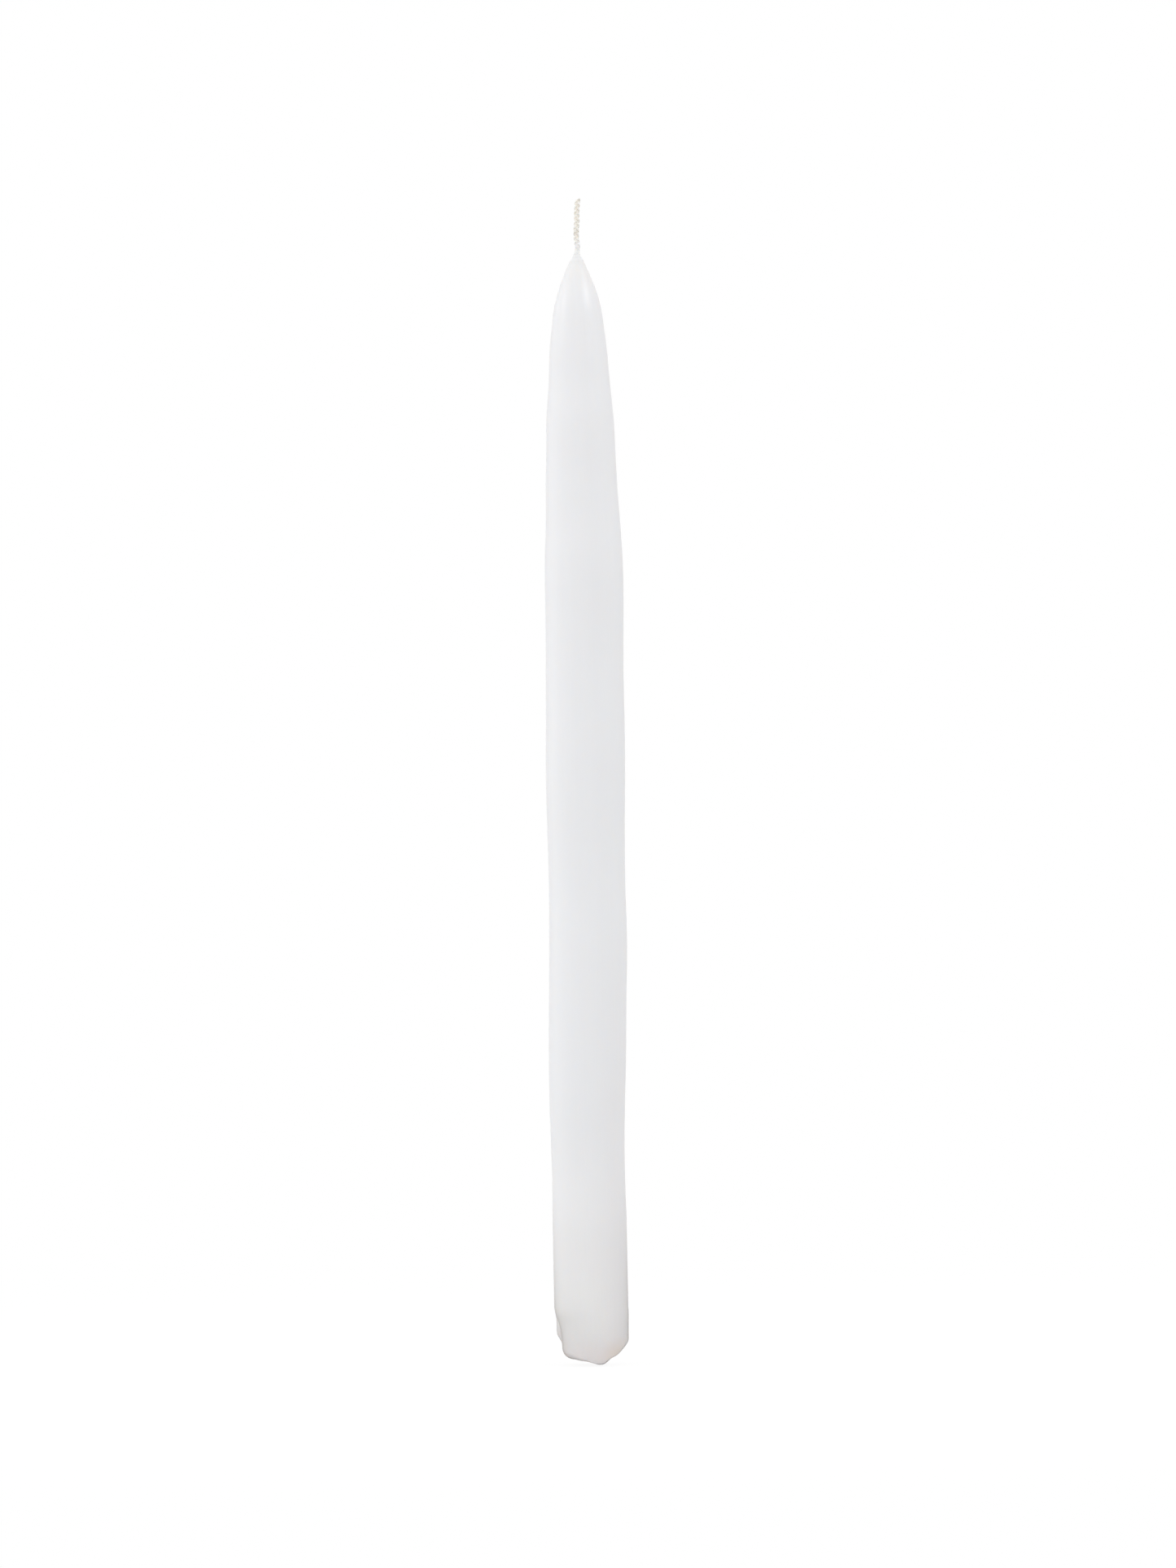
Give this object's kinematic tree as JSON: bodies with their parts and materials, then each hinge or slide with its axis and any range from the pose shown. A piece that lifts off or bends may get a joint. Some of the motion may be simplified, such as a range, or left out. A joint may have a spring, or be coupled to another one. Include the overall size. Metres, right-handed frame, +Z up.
{
  "type": "taper candle",
  "caption": "Tall slim dipped taper candle of white wax with a cotton wick, a pointed nose and a rough drip end, for a candlestick socket.",
  "frame": {"origin": "on the axis of the round butt that a candlestick holds, level with the lowest point of the drip end, which lies within the frame check's limits of the middle of the base of the whole candle", "axes": "+Z up along the butt's axis towards the wick, +X to the right in the picture, +Y away from the camera"},
  "size_m": [0.0232, 0.0225, 0.321],
  "materials": {
    "wax": "smooth white paraffin wax, softly waxy",
    "wick": "plaited cotton, stiff with wax"
  },
  "bodies": {
    "root": {"wax_body": "wax", "wick": "wick"}
  },
  "joints": []
}
